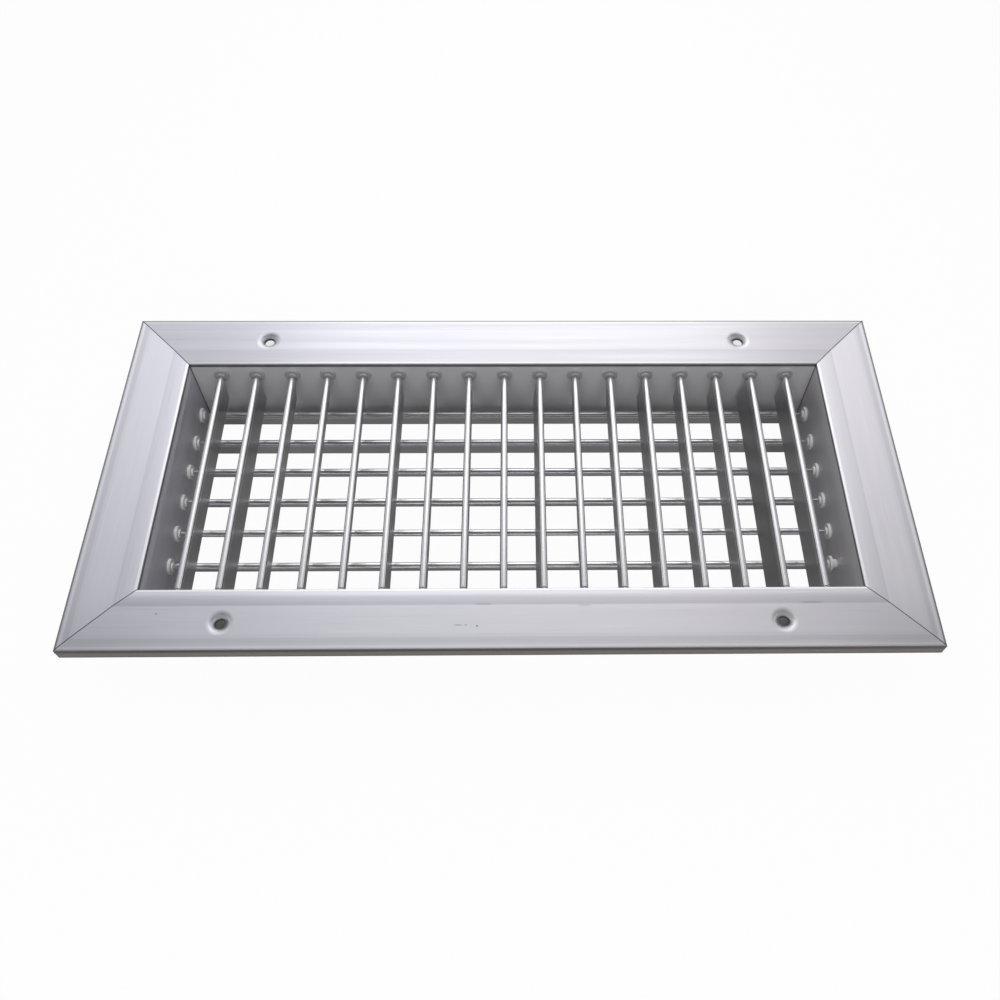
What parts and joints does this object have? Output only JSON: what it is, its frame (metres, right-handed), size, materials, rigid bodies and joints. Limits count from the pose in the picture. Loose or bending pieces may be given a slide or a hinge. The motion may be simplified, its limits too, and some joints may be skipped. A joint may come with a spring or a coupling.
{
  "type": "supply air grille",
  "caption": "Aluminium supply air grille: a mitred flanged frame with a deep collar, hand-set front blades crossing hand-set rear blades, and dimpled screw holes.",
  "frame": {"origin": "middle of the grille in the plane of the collar's rear rim, on which it lies face up", "axes": "+X along the long side, +Y along the short side, up the wall it is fixed to, +Z out of the face"},
  "size_m": [0.4, 0.197, 0.051],
  "materials": {
    "frame_aluminium": "satin extruded",
    "blade_aluminium": "satin extruded",
    "key_aluminium": "mill",
    "pin_steel": "bright drawn",
    "bush_nylon": "natural moulded"
  },
  "bodies": {
    "frame": {"frame_top": "frame_aluminium", "frame_bottom": "frame_aluminium", "frame_left": "frame_aluminium", "frame_right": "frame_aluminium", "corner_keys": "key_aluminium", "front_bushes_top": "bush_nylon", "front_bushes_bottom": "bush_nylon", "rear_bushes_left": "bush_nylon", "rear_bushes_right": "bush_nylon"},
    "front_blade_01_set": {"front_blade_01": "blade_aluminium", "front_pins_01": "pin_steel"},
    "front_blade_02_set": {"front_blade_02": "blade_aluminium", "front_pins_02": "pin_steel"},
    "front_blade_03_set": {"front_blade_03": "blade_aluminium", "front_pins_03": "pin_steel"},
    "front_blade_04_set": {"front_blade_04": "blade_aluminium", "front_pins_04": "pin_steel"},
    "front_blade_05_set": {"front_blade_05": "blade_aluminium", "front_pins_05": "pin_steel"},
    "front_blade_06_set": {"front_blade_06": "blade_aluminium", "front_pins_06": "pin_steel"},
    "front_blade_07_set": {"front_blade_07": "blade_aluminium", "front_pins_07": "pin_steel"},
    "front_blade_08_set": {"front_blade_08": "blade_aluminium", "front_pins_08": "pin_steel"},
    "front_blade_09_set": {"front_blade_09": "blade_aluminium", "front_pins_09": "pin_steel"},
    "front_blade_10_set": {"front_blade_10": "blade_aluminium", "front_pins_10": "pin_steel"},
    "front_blade_11_set": {"front_blade_11": "blade_aluminium", "front_pins_11": "pin_steel"},
    "front_blade_12_set": {"front_blade_12": "blade_aluminium", "front_pins_12": "pin_steel"},
    "front_blade_13_set": {"front_blade_13": "blade_aluminium", "front_pins_13": "pin_steel"},
    "front_blade_14_set": {"front_blade_14": "blade_aluminium", "front_pins_14": "pin_steel"},
    "front_blade_15_set": {"front_blade_15": "blade_aluminium", "front_pins_15": "pin_steel"},
    "front_blade_16_set": {"front_blade_16": "blade_aluminium", "front_pins_16": "pin_steel"},
    "front_blade_17_set": {"front_blade_17": "blade_aluminium", "front_pins_17": "pin_steel"},
    "rear_blade_1_set": {"rear_blade_1": "blade_aluminium", "rear_pins_1": "pin_steel"},
    "rear_blade_2_set": {"rear_blade_2": "blade_aluminium", "rear_pins_2": "pin_steel"},
    "rear_blade_3_set": {"rear_blade_3": "blade_aluminium", "rear_pins_3": "pin_steel"},
    "rear_blade_4_set": {"rear_blade_4": "blade_aluminium", "rear_pins_4": "pin_steel"},
    "rear_blade_5_set": {"rear_blade_5": "blade_aluminium", "rear_pins_5": "pin_steel"},
    "rear_blade_6_set": {"rear_blade_6": "blade_aluminium", "rear_pins_6": "pin_steel"},
    "rear_blade_7_set": {"rear_blade_7": "blade_aluminium", "rear_pins_7": "pin_steel"}
  },
  "joints": [
    {"name": "front_blade_01_turn", "type": "hinge", "parent": "frame", "child": "front_blade_01_set", "pos_m": [-0.1536, 0, 0.0417], "axis": [0, 1, 0], "range_deg": [-29, 31]},
    {"name": "front_blade_02_turn", "type": "hinge", "parent": "frame", "child": "front_blade_02_set", "pos_m": [-0.1344, 0, 0.0417], "axis": [0, 1, 0], "range_deg": [-24, 36]},
    {"name": "front_blade_03_turn", "type": "hinge", "parent": "frame", "child": "front_blade_03_set", "pos_m": [-0.1152, 0, 0.0417], "axis": [0, 1, 0], "range_deg": [-33, 27]},
    {"name": "front_blade_04_turn", "type": "hinge", "parent": "frame", "child": "front_blade_04_set", "pos_m": [-0.096, 0, 0.0417], "axis": [0, 1, 0], "range_deg": [-36.5, 23.5]},
    {"name": "front_blade_05_turn", "type": "hinge", "parent": "frame", "child": "front_blade_05_set", "pos_m": [-0.0768, 0, 0.0417], "axis": [0, 1, 0], "range_deg": [-35, 25]},
    {"name": "front_blade_06_turn", "type": "hinge", "parent": "frame", "child": "front_blade_06_set", "pos_m": [-0.0576, 0, 0.0417], "axis": [0, 1, 0], "range_deg": [-26, 34]},
    {"name": "front_blade_07_turn", "type": "hinge", "parent": "frame", "child": "front_blade_07_set", "pos_m": [-0.0384, 0, 0.0417], "axis": [0, 1, 0], "range_deg": [-29.5, 30.5]},
    {"name": "front_blade_08_turn", "type": "hinge", "parent": "frame", "child": "front_blade_08_set", "pos_m": [-0.0192, 0, 0.0417], "axis": [0, 1, 0], "range_deg": [-27.5, 32.5]},
    {"name": "front_blade_09_turn", "type": "hinge", "parent": "frame", "child": "front_blade_09_set", "pos_m": [0, 0, 0.0417], "axis": [0, 1, 0], "range_deg": [-36, 24]},
    {"name": "front_blade_10_turn", "type": "hinge", "parent": "frame", "child": "front_blade_10_set", "pos_m": [0.0192, 0, 0.0417], "axis": [0, 1, 0], "range_deg": [-40.5, 19.5]},
    {"name": "front_blade_11_turn", "type": "hinge", "parent": "frame", "child": "front_blade_11_set", "pos_m": [0.0384, 0, 0.0417], "axis": [0, 1, 0], "range_deg": [-32, 28]},
    {"name": "front_blade_12_turn", "type": "hinge", "parent": "frame", "child": "front_blade_12_set", "pos_m": [0.0576, 0, 0.0417], "axis": [0, 1, 0], "range_deg": [-33, 27]},
    {"name": "front_blade_13_turn", "type": "hinge", "parent": "frame", "child": "front_blade_13_set", "pos_m": [0.0768, 0, 0.0417], "axis": [0, 1, 0], "range_deg": [-40, 20]},
    {"name": "front_blade_14_turn", "type": "hinge", "parent": "frame", "child": "front_blade_14_set", "pos_m": [0.096, 0, 0.0417], "axis": [0, 1, 0], "range_deg": [-36, 24]},
    {"name": "front_blade_15_turn", "type": "hinge", "parent": "frame", "child": "front_blade_15_set", "pos_m": [0.1152, 0, 0.0417], "axis": [0, 1, 0], "range_deg": [-37, 23]},
    {"name": "front_blade_16_turn", "type": "hinge", "parent": "frame", "child": "front_blade_16_set", "pos_m": [0.1344, 0, 0.0417], "axis": [0, 1, 0], "range_deg": [-47.5, 12.5]},
    {"name": "front_blade_17_turn", "type": "hinge", "parent": "frame", "child": "front_blade_17_set", "pos_m": [0.1536, 0, 0.0417], "axis": [0, 1, 0], "range_deg": [-39, 21]},
    {"name": "rear_blade_1_turn", "type": "hinge", "parent": "frame", "child": "rear_blade_1_set", "pos_m": [0, -0.0576, 0.0182], "axis": [1, 0, 0], "range_deg": [-52, 8]},
    {"name": "rear_blade_2_turn", "type": "hinge", "parent": "frame", "child": "rear_blade_2_set", "pos_m": [0, -0.0384, 0.0182], "axis": [1, 0, 0], "range_deg": [-50.5, 9.5]},
    {"name": "rear_blade_3_turn", "type": "hinge", "parent": "frame", "child": "rear_blade_3_set", "pos_m": [0, -0.0192, 0.0182], "axis": [1, 0, 0], "range_deg": [-58.5, 1.5]},
    {"name": "rear_blade_4_turn", "type": "hinge", "parent": "frame", "child": "rear_blade_4_set", "pos_m": [0, 0, 0.0182], "axis": [1, 0, 0], "range_deg": [-54.5, 5.5]},
    {"name": "rear_blade_5_turn", "type": "hinge", "parent": "frame", "child": "rear_blade_5_set", "pos_m": [0, 0.0192, 0.0182], "axis": [1, 0, 0], "range_deg": [-56, 4]},
    {"name": "rear_blade_6_turn", "type": "hinge", "parent": "frame", "child": "rear_blade_6_set", "pos_m": [0, 0.0384, 0.0182], "axis": [1, 0, 0], "range_deg": [-46, 14]},
    {"name": "rear_blade_7_turn", "type": "hinge", "parent": "frame", "child": "rear_blade_7_set", "pos_m": [0, 0.0576, 0.0182], "axis": [1, 0, 0], "range_deg": [-50, 10]}
  ]
}
